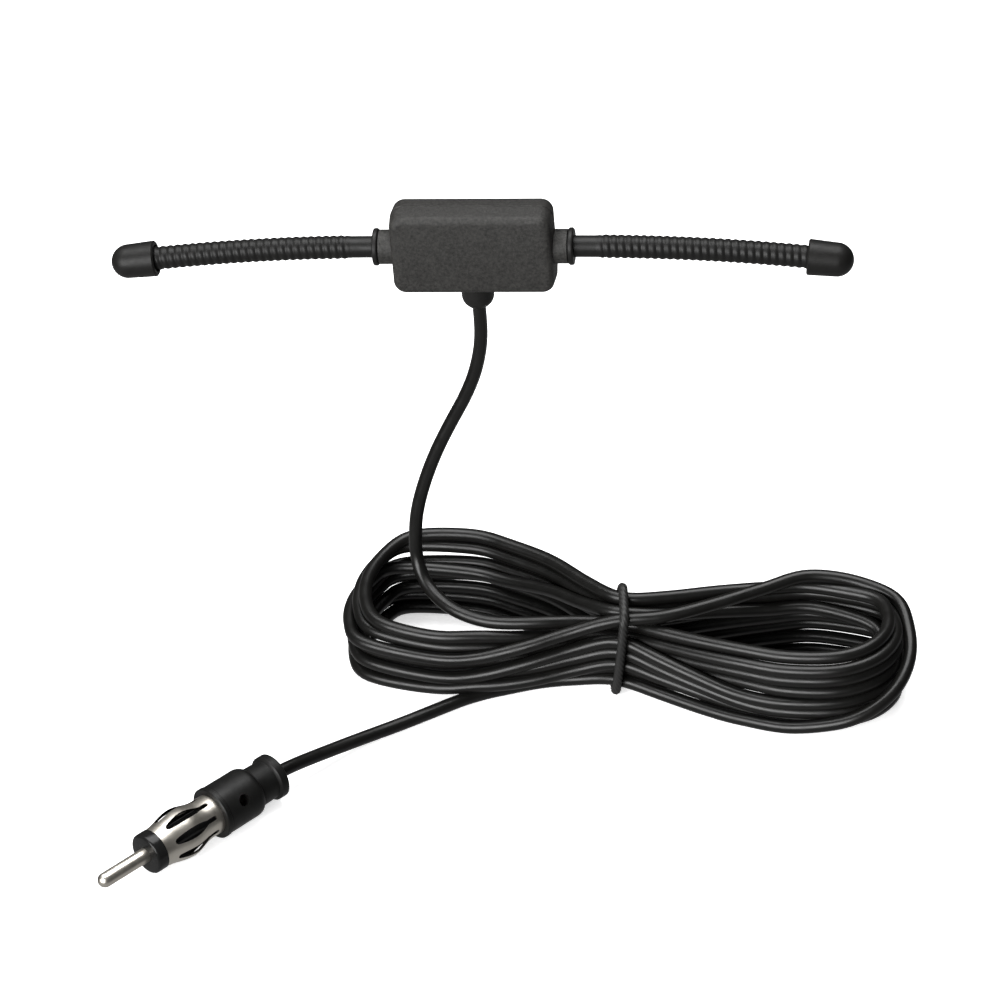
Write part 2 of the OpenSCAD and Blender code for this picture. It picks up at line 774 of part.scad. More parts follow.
module plug_pin() {
    tip_r = pin_d / 2;
    color(nickel)
    at_plug()
        difference() {
            union() {
                translate([0, 0, pin_tail_from])
                    cylinder(h = nose_end - pin_tail_from, d = pin_tail_d);
                translate([0, 0, nose_end]) cylinder(h = pin_len - tip_r, d = pin_d);
                translate([0, 0, nose_end + pin_len - tip_r]) sphere(tip_r);
            }
            translate([0, 0, pin_tail_from - 1])
                cylinder(h = solder_bore + 1, d = core_d + 2 * fit);
        }
}

// Black nose with a rounded edge, and the core that carries the pin
module plug_insulator() {
    nose = insulator_len - fit;
    seat_d = ring_d - 2 * sleeve_t - 2 * fit;
    color(black_rubber)
    at_plug()
        difference() {
            union() {
                translate([0, 0, body_end - core_grip])
                    cylinder(h = bow_end - body_end + core_grip, d = insulator_core_d);
                translate([0, 0, bow_end - nose_seat])
                    cylinder(h = nose_seat + fit, d = seat_d);
                translate([0, 0, bow_end + fit])
                    rotate_extrude()
                        polygon(concat([[0, 0], [insulator_d / 2, 0]],
                            [for (a = [0:22.5:90]) [insulator_d / 2 - nose_round * (1 - cos(a)),
                                nose - nose_round * (1 - sin(a))]],
                            [[0, nose]]));
            }
            translate([0, 0, body_end - core_grip - 1])
                cylinder(h = nose_end, d = pin_tail_d + 2 * fit);
        }
}

// Radius of the spring sleeve's outside at share t of its visible length
bow_from = 0.18;
bow_top = 0.54;
function bow_r(t) =
    let (rise = max(t - bow_from, 0) / (bow_top - bow_from), fall = (1 - t) / (1 - bow_top))
    ring_d / 2 + (bow_d - ring_d) / 2 * (1 - cos(180 * min(rise, fall))) / 2;

// Half width of a slot at share t of its length: a narrow neck, a long almond, a round end
function slot_half(t) =
    let (u = max(t - slot_neck, 0) / (1 - slot_neck))
    (slot_end_w + (slot_w - slot_end_w) * pow(sin(180 * u), 0.8)) / 2;
function slot_point(t, slot_len) =
    t <= 0 ? [slot_end_w / 4, 0]
        : t >= 1 ? [slot_end_w / 4, slot_len]
        : [slot_half(t), slot_len * t];

// Thin spring sleeve whose ribs bow outward between its two rings
module plug_sleeve() {
    n = 16;
    outer = [for (i = [0:n]) [bow_r(i / n), body_end + sleeve_len * i / n]];
    inner = [for (i = [n:-1:0]) outer[i] - [sleeve_t, 0]];
    slot_len = sleeve_len - slot_from - front_ring_len;
    side = [for (t = [0, 0.03, slot_neck, 0.3, 0.4, 0.5, 0.6, 0.7, 0.8, 0.9, 0.97, 1])
        slot_point(t, slot_len)];
    color(nickel)
    at_plug()
        difference() {
            rotate_extrude()
                polygon(concat([[ring_d / 2, body_end - sleeve_grip]], outer, inner,
                    [[ring_d / 2 - sleeve_t, body_end - sleeve_grip]]));
            for (i = [0:slot_count - 1])
                rotate([90, 0, 360 / slot_count * (i + 0.5) + slot_turn])
                    translate([0, body_end + slot_from, ring_d / 4])
                        linear_extrude(bow_d / 2)
                            polygon(concat(side, [for (k = [len(side) - 1:-1:0])
                                [-side[k][0], side[k][1]]]));
        }
}

// Body tube: bored for the spring sleeve at the front and for the tail bush at the rear
module plug_body() {
    neck_bore = tail_d - 2 * tail_step;
    color(black_plastic)
    at_plug()
        difference() {
            translate([0, 0, body_from])
                rotate_extrude()
                    difference() {
                        polygon(concat([[0, 0]],
                            [for (a = [0:15:90])
                                [body_rear_d / 2 - shoulder_h * (1 - sin(a)),
                                    shoulder_len * (1 - cos(a))]],
                            [[body_front_d / 2 - front_rim_h, body_len - front_rim_len],
                                [body_front_d / 2, body_len - front_rim_len + front_rim_h],
                                [body_front_d / 2, body_len - edge],
                                [body_front_d / 2 - edge, body_len], [0, body_len]]));
                        translate([-1, -1]) square([1 + neck_bore / 2 + fit, body_len + 2]);
                        translate([-1, body_len - sleeve_grip - fit])
                            square([1 + ring_d / 2 + fit, sleeve_grip + 1]);
                    }
            translate([0, 0, body_from + side_hole_at])
                rotate([90, 0, 270 - side_hole_turn])
                    cylinder(h = body_front_d, d = side_hole_d);
        }
}

// Tail bush: a plug in the body, a tapered neck and a rear rim
module plug_tail() {
    color(black_rubber)
    at_plug()
        rotate_extrude()
            difference() {
                polygon([[0, 0], [tail_rim_d / 2 - edge, 0], [tail_rim_d / 2, edge],
                    [tail_rim_d / 2, tail_rim_len - edge], [tail_rim_d / 2 - edge, tail_rim_len],
                    [tail_d / 2 - tail_neck, tail_rim_len + edge], [tail_d / 2, tail_len - fit],
                    [tail_d / 2 - tail_step, tail_len - fit],
                    [tail_d / 2 - tail_step, tail_len + tail_grip], [0, tail_len + tail_grip]]);
                translate([-1, -1]) square([1 + coax_d / 2 + fit, tail_len + tail_grip + 2]);
            }
}

// Crimp ferrule round the coax, just in front of the tail bush
module plug_ferrule() {
    color(nickel)
    at_plug()
        translate([0, 0, tail_len + tail_grip + fit])
            difference() {
                cylinder(h = ferrule_len, d = ferrule_d);
                translate([0, 0, -1]) cylinder(h = ferrule_len + 2, d = coax_d + 2 * fit);
            }
}

module coax_plug_end() {
    jacket = tail_len + tail_grip + ferrule_len;
    color(black_rubber)
    at_plug()
        stripped_end(jacket, jacket + strip_step, pin_tail_from - 2 * fit,
            pin_tail_from + solder_bore - 4 * fit);
}

rear_housing();
front_cover();
adhesive_pad();
circuit_board();
matching_coil();
chip_capacitors();
grommet(-1);  // left_grommet
grommet(1);  // right_grommet
spring(-1, left_arm_len);  // left_spring
spring(1, right_arm_len);  // right_spring
sleeve(-1, left_arm_len);  // left_sleeve
sleeve(1, right_arm_len);  // right_sleeve
cap(-1, left_arm_len);  // left_cap
cap(1, right_arm_len);  // right_cap
cable_gland();
coax_board_end();
coax_lead();
coax_hank();
hank_tie();
coax_tail();
plug_pin();
plug_insulator();
plug_sleeve();
plug_body();
plug_tail();
plug_ferrule();
coax_plug_end();
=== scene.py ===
"""Looks of the windscreen dipole aerial: hanked coax, tie, ribbed sleeves, finishes and light."""
from math import cos, pi, radians, sin, tau

import bpy
import numpy as np
from mathutils import Matrix, Vector


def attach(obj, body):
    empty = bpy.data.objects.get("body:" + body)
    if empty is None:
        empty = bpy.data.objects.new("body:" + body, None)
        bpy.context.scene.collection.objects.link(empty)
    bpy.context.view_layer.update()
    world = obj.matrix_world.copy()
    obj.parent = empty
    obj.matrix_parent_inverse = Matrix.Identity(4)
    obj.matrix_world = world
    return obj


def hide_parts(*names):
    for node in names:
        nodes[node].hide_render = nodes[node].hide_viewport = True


MM = 0.001
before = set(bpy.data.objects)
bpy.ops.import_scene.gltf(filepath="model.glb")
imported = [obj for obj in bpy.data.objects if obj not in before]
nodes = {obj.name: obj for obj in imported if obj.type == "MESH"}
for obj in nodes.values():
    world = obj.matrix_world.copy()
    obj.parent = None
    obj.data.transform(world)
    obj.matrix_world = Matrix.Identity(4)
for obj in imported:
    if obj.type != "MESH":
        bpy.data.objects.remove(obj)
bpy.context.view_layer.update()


# Camera, in millimetres and degrees

EYE = (160.0, -1010.6, 637.7)
VIEW_AZIMUTH = radians(9)
VIEW_ELEVATION = radians(34.5)
VIEW_ROLL = radians(5)
LENS = 216
SENSOR = 36


def make_camera():
    """A long lens, above and to the right of the front, turned a little about its own axis."""
    look = np.array((-sin(VIEW_AZIMUTH) * cos(VIEW_ELEVATION),
                     cos(VIEW_AZIMUTH) * cos(VIEW_ELEVATION), -sin(VIEW_ELEVATION)))
    level = np.array((cos(VIEW_AZIMUTH), sin(VIEW_AZIMUTH), 0))
    above = np.cross(level, look)
    right = cos(VIEW_ROLL) * level - sin(VIEW_ROLL) * above
    up = sin(VIEW_ROLL) * level + cos(VIEW_ROLL) * above
    data = bpy.data.cameras.new("camera")
    data.lens = LENS
    data.sensor_width = SENSOR
    data.clip_start = 0.05
    data.clip_end = 20
    camera = bpy.data.objects.new("camera", data)
    rotation = Matrix((right, up, -look)).transposed().to_4x4()
    camera.matrix_world = Matrix.Translation([x * MM for x in EYE]) @ rotation
    bpy.context.scene.collection.objects.link(camera)
    bpy.context.scene.camera = camera


make_camera()


# Route of the coax, in millimetres until the curve is made

COAX_D = 2.8
FLOOR_Z = -100
HANK_AT = (26, -13.5)
HANK_TURN = radians(-9.5)
TIE_D = 1.9
HOUSING_Y = -5.4
GLAND_END = -13.9
LEAD_ROUTE = [
    (0, HOUSING_Y, GLAND_END), (0, -5.4, -19), (-0.5, -5.4, -24), (-2, -5.4, -30),
    (-4.5, -5.5, -36), (-8, -5.7, -42.5), (-11.5, -6, -49.5), (-14.5, -6.5, -57),
    (-16.5, -7, -64), (-17.2, -7.5, -70), (-17.2, -8, -74.5)]
# The lead goes on down the inside of the left loop, to the tie
LEAD_IN_HANK = [
    (-15.6, -10.8, -77.9), (-13, -13.8, -79.5), (-8.6, -17.6, -80.4), (-2.4, -20.2, -81),
    (3.6, -21, -80.9), (11.4, -20.5, -81.1)]
UNDER_HANK = [(17.0, -17.6, -98.3), (7.0, -18.4, -98.6)]
TAIL_ROUTE = [
    (-4, -22.6, -98.6), (-9, -25.8, -98.6), (-14, -29.4, -98.6), (-19, -33, -98.6),
    (-24, -36.8, -98.3), (-29, -41.2, -97.6), (-33, -45.2, -96.8), (-36.5, -49.2, -95.8),
    (-39.3, -52.7, -94.9)]
PLUG_TURN = radians(230)
PLUG_REAR = (-42.3, -56.2, -94.45)
PLUG_DIR = (cos(PLUG_TURN), sin(PLUG_TURN), 0)
PLUG_SIDE = (-PLUG_DIR[1], PLUG_DIR[0], 0)
# The coax runs straight for this long before the plug
PLUG_STRAIGHT = 0.6

# Distances from the tie at which a turn's course is set, and its share of the way outward there
REACH = (9, 18, 28, 37)
LEFT_NEAR = (0.20, 0.58, 0.86, 1.0)
LEFT_FAR = (0.26, 0.60, 0.84, 0.97)
RIGHT_NEAR = (0.28, 0.60, 0.88, 1.0)
RIGHT_FAR = (0.20, 0.50, 0.80, 0.98)
# The last turn crosses over the others more slowly
LAST_FAR = (0.10, 0.33, 0.64, 0.88)
# How far a loop's end reaches past its walls, as a share of half its width: far side, near side
LEFT_ROUND = (0.72, 0.80)
RIGHT_ROUND = (0.85, 1.30)
END_POINTS = 5
# Distance from the tie at which a turn has come to its own row
ROW_REACH = 30

# One line for each loop left of the tie: far wall's place across the hank and row, near wall's
# place and row, how far the loop reaches, and the bundle's places (column, row) of both walls
LEFT_LOOPS = [
    (17.2, 6.9, -15.8, 5.8, 55.4, (2, 6.9), (1, 3.9)),
    (16.6, 5.8, -14.8, 4.6, 57.2, (2, 5.8), (1, 2.9)),
    (16.0, 4.8, -14.8, 3.1, 58.0, (2, 4.7), (1, 1.9)),
    (16.2, 3.7, -15.8, 2.3, 58.6, (2, 3.6), (0, 4.3)),
    (15.6, 2.5, -14.0, 1.5, 57.0, (2, 2.5), (0, 3.2)),
    (16.0, 1.3, -15.2, 0.9, 58.8, (2, 1.4), (0, 2.1)),
    (15.0, 0.0, -12.2, 0.0, 56.8, (2, 0.3), (0, 1.1)),
    (13.2, 4.4, -16.4, 4.15, 58.6, (1, 6.2), (0.1, 6.3))]
# The same for the loops right of the tie, which go on into the left loops' places in the bundle
RIGHT_LOOPS = [
    (13.8, 6.5, -10.8, 6.0, 55.2),
    (14.4, 5.6, -12.6, 5.2, 56.6),
    (15.2, 4.6, -12.4, 4.3, 57.2),
    (14.2, 3.7, -13.0, 3.4, 56.8),
    (15.0, 2.7, -12.6, 2.5, 57.6),
    (13.6, 1.8, -12.6, 1.7, 56.8),
    (12.4, 0.9, -10.6, 0.8, 56.4),
    (11.6, 4.9, -9.8, 0.8, 54.4),
    (15.2, 6.8, -13.2, 0.4, 58.6)]
# Where a loop's line holds its far wall and its near wall
FAR = slice(0, 2)
NEAR = slice(2, 4)
LEAD_PLACE = (1, 5.0)
TAIL_PLACE = (0, 0)
COLUMN_Q = -6.4
COLUMN_STEP = 2.45
BUNDLE_STEP = 2.7

CORD_STEP = 2.5
CORD_GAP = 1.01 * COAX_D
RELAX_STEPS = 160
# Near pairs are looked up anew every few steps, with this much room for what moves meanwhile
PAIR_STEPS = 5
PAIR_ROOM = 2.5
# Points this near along the cord are its own neighbours, which don't push
NEIGHBOURS = 4
# Points over which the cord comes free of its held ends
FREEING = 12
# How far a step sinks the cord, and by what share it draws the turns back to their route
SINK = 0.02
DRAW_IN = 0.01
# From this share of the steps on, the cord is smoothed less
LATE = 0.85
# The tie lifts the cord off the surface this far to each side, and the cord slopes down over the run
LIFT_FLAT = 1.5
LIFT_RUN = 9


def from_hank(p, q, z):
    """A point given along and across the hank, at a height."""
    c, s = cos(HANK_TURN), sin(HANK_TURN)
    return (HANK_AT[0] + c * p - s * q, HANK_AT[1] + s * p + c * q, z)


def row_z(row):
    """Height of a row of turns, counted up from the surface."""
    return FLOOR_Z + COAX_D / 2 + COAX_D * row


def bundle_place(place):
    """Where a place (column, row) of the bundle lies: across the hank, and its height."""
    column, row = place
    return COLUMN_Q + COLUMN_STEP * column, FLOOR_Z + TIE_D + COAX_D / 2 + BUNDLE_STEP * row


def at_tie(place):
    """The point at which the route passes the tie."""
    return from_hank(0, *bundle_place(place))


def loop_side(side, shares, place, wall_q, wall_row):
    """Points from the bundle out along one wall of a loop."""
    q, z = bundle_place(place)
    return [from_hank(side * d, q + (wall_q - q) * share,
                      z + (row_z(wall_row) - z) * min(1, d / ROW_REACH))
            for d, share in zip(REACH, shares)]


def loop_end(side, far_q, far_row, near_q, near_row, reach):
    """Points round the end of a loop, from its far wall to its near wall."""
    middle, r = (far_q + near_q) / 2, (far_q - near_q) / 2
    rounding = LEFT_ROUND if side < 0 else RIGHT_ROUND
    points = []
    for i in range(1, END_POINTS + 1):
        turn, t = pi * i / (END_POINTS + 1), i / (END_POINTS + 1)
        depth = r * (rounding[0] if cos(turn) > 0 else rounding[1])
        points.append(from_hank(side * (reach - depth + depth * sin(turn)),
                                middle + r * cos(turn), row_z(far_row + (near_row - far_row) * t)))
    return points


def plug_end():
    """The tail's route, with its last stretch straight into the plug."""
    short_of_plug = tuple(a - PLUG_STRAIGHT * b for a, b in zip(PLUG_REAR, PLUG_DIR))
    return TAIL_ROUTE + [short_of_plug, PLUG_REAR]


def coax_points():
    """The whole route: lead, loops by turns right and left of the tie, and the tail to the plug."""
    points = LEAD_ROUTE + LEAD_IN_HANK
    place = LEAD_PLACE
    for right, (*left, far_place, near_place) in zip(RIGHT_LOOPS, LEFT_LOOPS):
        points.append(at_tie(place))
        points += loop_side(1, RIGHT_NEAR, place, *right[NEAR])
        points += loop_end(1, *right)[::-1]
        points += loop_side(1, RIGHT_FAR, far_place, *right[FAR])[::-1]
        points.append(at_tie(far_place))
        points += loop_side(-1, LEFT_FAR, far_place, *left[FAR])
        points += loop_end(-1, *left)
        points += loop_side(-1, LEFT_NEAR, near_place, *left[NEAR])[::-1]
        place = near_place
    # The last loop crosses to the far side, round the outside and back along the bottom
    last = RIGHT_LOOPS[-1]
    points.append(at_tie(place))
    points += loop_side(1, LAST_FAR, place, *last[FAR])
    points += loop_end(1, *last)
    points += loop_side(1, RIGHT_NEAR, TAIL_PLACE, *last[NEAR])[::-1]
    points.append(at_tie(TAIL_PLACE))
    return points + UNDER_HANK + plug_end()


def lengths_along(line):
    """Length from the line's start to each of its points."""
    return np.concatenate([[0], np.cumsum(np.linalg.norm(np.diff(line, axis=0), axis=1))])


def points_at(at, along, line):
    """The line's points at the given lengths."""
    return np.stack([np.interp(at, along, line[:, k]) for k in range(3)], axis=1)


def smooth_line(points, step, fine=12):
    """A smooth curve through the points, cut into even steps."""
    p = np.array(points, float)
    p = np.vstack([2 * p[0] - p[1], p, 2 * p[-1] - p[-2]])
    line = []
    for a, b, c, d in zip(p, p[1:], p[2:], p[3:]):
        for t in np.arange(fine) / fine:
            line.append(0.5 * (2 * b + (c - a) * t + (2 * a - 5 * b + 4 * c - d) * t ** 2
                               + (3 * b - a - 3 * c + d) * t ** 3))
    line = np.array(line + [p[-2]])
    along = lengths_along(line)
    return points_at(np.linspace(0, along[-1], round(along[-1] / step) + 1), along, line)


def close_pairs(line, within):
    """Index pairs of points that lie near each other but are apart along the cord."""
    square = ((line[:, None, :] - line[None, :, :]) ** 2).sum(2)
    i, j = np.nonzero(square < within ** 2)
    apart = j - i > NEIGHBOURS
    return i[apart], j[apart]


def settle(line, held_start, held_end):
    """Lets the turns push each other a diameter apart, sink a little and rest on the surface."""
    count = len(line)
    free = np.ones(count)
    free[:held_start] = 0
    free[count - held_end:] = 0
    for k in range(FREEING):
        free[held_start + k] = (k + 1) / FREEING
        free[count - held_end - 1 - k] = (k + 1) / FREEING
    free = free[:, None]
    axis = np.array((cos(HANK_TURN), sin(HANK_TURN)))
    moved = np.zeros_like(line)
    for step in range(RELAX_STEPS):
        late = step / RELAX_STEPS
        now = line + moved
        if step % PAIR_STEPS == 0:
            i, j = close_pairs(now, CORD_GAP + PAIR_ROOM)
        between = now[j] - now[i]
        far = np.linalg.norm(between, axis=1)
        hit = far < CORD_GAP
        push = between[hit] / far[hit, None] * (CORD_GAP - far[hit])[:, None] / 2
        total, hits = np.zeros_like(line), np.zeros(count)
        for index, sign in ((i[hit], -1), (j[hit], 1)):
            np.add.at(total, index, sign * push)
            np.add.at(hits, index, 1)
        moved += total / np.sqrt(np.maximum(hits, 1))[:, None] * free
        moved[:, 2] -= SINK * (1 - late) * free[:, 0]
        moved[:, :2] *= 1 - DRAW_IN * (1 - late)
        eased = moved.copy()
        eased[2:-2] = (0.4 * moved[2:-2] + 0.2 * (moved[1:-3] + moved[3:-1])
                       + 0.1 * (moved[:-4] + moved[4:]))
        moved += (0.5 if late < LATE else 0.25) * (eased - moved) * free
        now = line + moved
        from_tie = np.abs((now[:, :2] - HANK_AT) @ axis)
        lift = TIE_D * np.clip(1 - (from_tie - LIFT_FLAT) / LIFT_RUN, 0, 1)
        moved[:, 2] += np.maximum(FLOOR_Z + COAX_D / 2 + lift - now[:, 2], 0) * free[:, 0]
    return line + moved


def coax_line():
    """The settled course of the coax, held as routed outside the hank."""
    lead = smooth_line(LEAD_ROUTE, CORD_STEP)
    tail = smooth_line(plug_end(), CORD_STEP)
    return settle(smooth_line(coax_points(), CORD_STEP), len(lead) - 2, len(tail) - 2)


def new_piece(data, replaced):
    """A piece of the object, riding on the only body."""
    piece = bpy.data.objects.new(data.name, data)
    bpy.context.scene.collection.objects.link(piece)
    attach(piece, "root")
    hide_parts(*replaced)
    return piece


def make_coax(line):
    """The coax from the gland to the plug, as a curve with a round section."""
    data = bpy.data.curves.new("coax_cable", "CURVE")
    data.dimensions = "3D"
    # Each point's own radius is the coax's, so the curve's box is the coax's too
    data.bevel_depth = 1
    data.bevel_resolution = 6
    data.resolution_u = 2
    data.twist_mode = "MINIMUM"
    spline = data.splines.new("NURBS")
    spline.points.add(len(line) - 1)
    for point, place in zip(spline.points, line):
        point.co = (*(place * MM), 1)
        point.radius = COAX_D / 2 * MM
    spline.use_endpoint_u = True
    spline.order_u = 4
    return new_piece(data, ("coax_lead", "coax_hank", "coax_tail"))


def mesh_piece(name, points, faces, replaced):
    """A smooth-shaded mesh from points in millimetres."""
    data = bpy.data.meshes.new(name)
    data.from_pydata([tuple(p) for p in np.asarray(points) * MM], [], faces)
    data.update()
    data.shade_smooth()
    return new_piece(data, replaced)


def ring_faces(rings, around, closed_along=False):
    """Quads between rings of points, each ring closed."""
    faces = []
    for i in range(rings if closed_along else rings - 1):
        for k in range(around):
            a, b = i * around, (i + 1) % rings * around
            faces.append((a + k, a + (k + 1) % around, b + (k + 1) % around, b + k))
    return faces


# Tie

TIE_TURN = radians(9)
TIE_LEAN = radians(8.4)
TIE_MIDDLE = -88.5
TIE_ALONG = -1.7
TIE_PRESS = 0.05
TIE_SIDES = 96
TIE_RINGS = 420
TIE_AROUND = 28
TIE_SMOOTHING = 6
# The twisted ridges: their number, the length of one turn, their height and what they stand on
TIE_RIDGES = 7
TIE_PITCH = 8.0
TIE_RIDGE = 0.17
TIE_CORE = TIE_D / 2 - 0.12
# In the tie's plane, coax lower than this belongs to the hank
HANK_TOP = FLOOR_Z + 30


def bundle_outline(line, centre, across, up, spare):
    """Convex outline round the strands where they pass the tie's plane, in (across, up)."""
    off = (line - centre) @ np.cross(across, up)
    passes = np.nonzero((off[:-1] * off[1:] <= 0) & (line[:-1, 2] < HANK_TOP))[0]
    places = []
    for i in passes:
        place = line[i] + off[i] / (off[i] - off[i + 1]) * (line[i + 1] - line[i]) - centre
        places.append((place @ across, place @ up))
    places = np.array(places)
    turns = np.arange(TIE_SIDES) * tau / TIE_SIDES
    rays = np.stack([np.cos(turns), np.sin(turns)], axis=1)
    middle = (places.min(0) + places.max(0)) / 2
    reach = (rays @ (places - middle).T).max(1) + spare
    # The outline is where each side's line meets the next
    outline = []
    for a, b, ra, rb in zip(rays, np.roll(rays, -1, 0), reach, np.roll(reach, -1)):
        outline.append(middle + np.linalg.solve(np.array((a, b)), (ra, rb)))
    return np.array(outline)


def make_tie(line):
    """Round rubber cord, twisted, drawn tight round the bundle."""
    side = np.array((cos(TIE_TURN), sin(TIE_TURN), 0))
    across = np.array((-sin(TIE_TURN), cos(TIE_TURN), 0))
    up = sin(TIE_LEAN) * side + cos(TIE_LEAN) * np.array((0, 0, 1))
    middle = np.array((*HANK_AT, TIE_MIDDLE)) + TIE_ALONG * side
    outline = bundle_outline(line, middle, across, up, COAX_D / 2 + TIE_D / 2 - TIE_PRESS)
    loop = middle + outline[:, :1] * across + outline[:, 1:] * up
    loop[:, 2] = np.maximum(loop[:, 2], FLOOR_Z + TIE_D / 2)
    closed = np.vstack([loop, loop[:1]])
    along = lengths_along(closed)
    centre = points_at(np.arange(TIE_RINGS) * along[-1] / TIE_RINGS, along, closed)
    for _ in range(TIE_SMOOTHING):
        centre = (np.roll(centre, 1, 0) + 2 * centre + np.roll(centre, -1, 0)) / 4
    heading = np.roll(centre, -1, 0) - np.roll(centre, 1, 0)
    heading /= np.linalg.norm(heading, axis=1)[:, None]
    normal = np.cross(across, up)
    out = np.cross(heading, normal)
    turns = round(along[-1] / TIE_PITCH)
    points = []
    for i in range(TIE_RINGS):
        twist = turns * TIE_RIDGES / 2 * tau * i / TIE_RINGS
        for k in range(TIE_AROUND):
            phi = tau * k / TIE_AROUND
            r = TIE_CORE + TIE_RIDGE * abs(cos(TIE_RIDGES / 2 * phi + twist))
            points.append(centre[i] + r * (cos(phi) * normal + sin(phi) * out[i]))
    return mesh_piece("tie_cord_loop", points, ring_faces(TIE_RINGS, TIE_AROUND, True),
                      ("hank_tie",))


# Ribbed sleeves

ARM_X = 20.25
ARM_DROOP = radians(6.6)
ARM_LENGTH = {"left": 44.6, "right": 46.6}
SLEEVE_D = 4.4
RIB_D = 4.8
RIB_PITCH = 1.52
# Less than one, this makes the groove narrower than the rib
RIB_CREST = 0.7
PLAIN_LEN = 5.2
BUSH_GRIP = 4.5
CAP_GRIP = 6
CAP_MOUTH_DEPTH = 1.6
SLEEVE_CLEAR = 0.1
SLEEVE_AROUND = 32
RINGS_PER_RIB = 12


def arm_point(s, length):
    """Place on an arm's centre line: straight in the bush, an arc, straight in the cap."""
    r = length / ARM_DROOP
    a = ARM_DROOP * min(max(s / length, 0), 1)
    past = max(s - length, 0)
    return np.array((min(s, 0) + r * sin(a) + past * cos(a), 0,
                     -r * (1 - cos(a)) - past * sin(a))), a


def rib_height(s, phi, length):
    """Height of the helical rib: rounded crests with a narrower groove between them."""
    fade = (min(max((s - PLAIN_LEN) / RIB_PITCH + 0.5, 0), 1)
            * min(max(length + CAP_MOUTH_DEPTH - s, 0), 1))
    wave = 0.5 + 0.5 * cos(tau * s / RIB_PITCH - phi)
    return fade * (RIB_D - SLEEVE_D) / 2 * wave ** RIB_CREST


def make_sleeve(side):
    """The ribbed sleeve of one arm, from inside its bush to inside its cap."""
    length = ARM_LENGTH[side]
    start, end = -BUSH_GRIP + SLEEVE_CLEAR, length + CAP_GRIP - SLEEVE_CLEAR
    count = round((end - start) / RIB_PITCH * RINGS_PER_RIB)
    mirror = 1 if side == "right" else -1
    level = np.array((0, 1, 0))
    points = []
    for i in range(count + 1):
        s = start + (end - start) * i / count
        centre, a = arm_point(s, length)
        upright = np.array((sin(a), 0, cos(a)))
        for k in range(SLEEVE_AROUND):
            phi = tau * k / SLEEVE_AROUND
            r = SLEEVE_D / 2 + rib_height(s, phi, length)
            p = centre + r * cos(phi) * level + r * sin(phi) * upright
            points.append((mirror * (ARM_X + p[0]), HOUSING_Y + mirror * p[1], p[2]))
    faces = ring_faces(count + 1, SLEEVE_AROUND)
    last = count * SLEEVE_AROUND
    faces.append(tuple(range(SLEEVE_AROUND))[::-1])
    faces.append(tuple(range(last, last + SLEEVE_AROUND)))
    return mesh_piece(side + "_ribbed_sleeve", points, faces, (side + "_sleeve",))


# Materials

# A mix node's colour inputs and colour output, among those for its other kinds of data
MIX_A = 6
MIX_B = 7
MIX_RESULT = 2
RUBBER_GLOSS = 0.18
# The nickel's normal times its distance vector from the axis: dark with painted shade below one,
# bright plate above the other
SHADED_INSIDE = -0.4 * MM
OUTSIDE = 0.1 * MM
# The layers of the stripped coax, each with the radius it starts at, and a radius past them all
LAYERS_REACH = 2.0
LAYERS = [(0.0, (0.62, 0.29, 0.15)), (0.28, (0.70, 0.69, 0.66)),
          (0.78, (0.48, 0.27, 0.16)), (1.08, (0.008, 0.008, 0.008))]


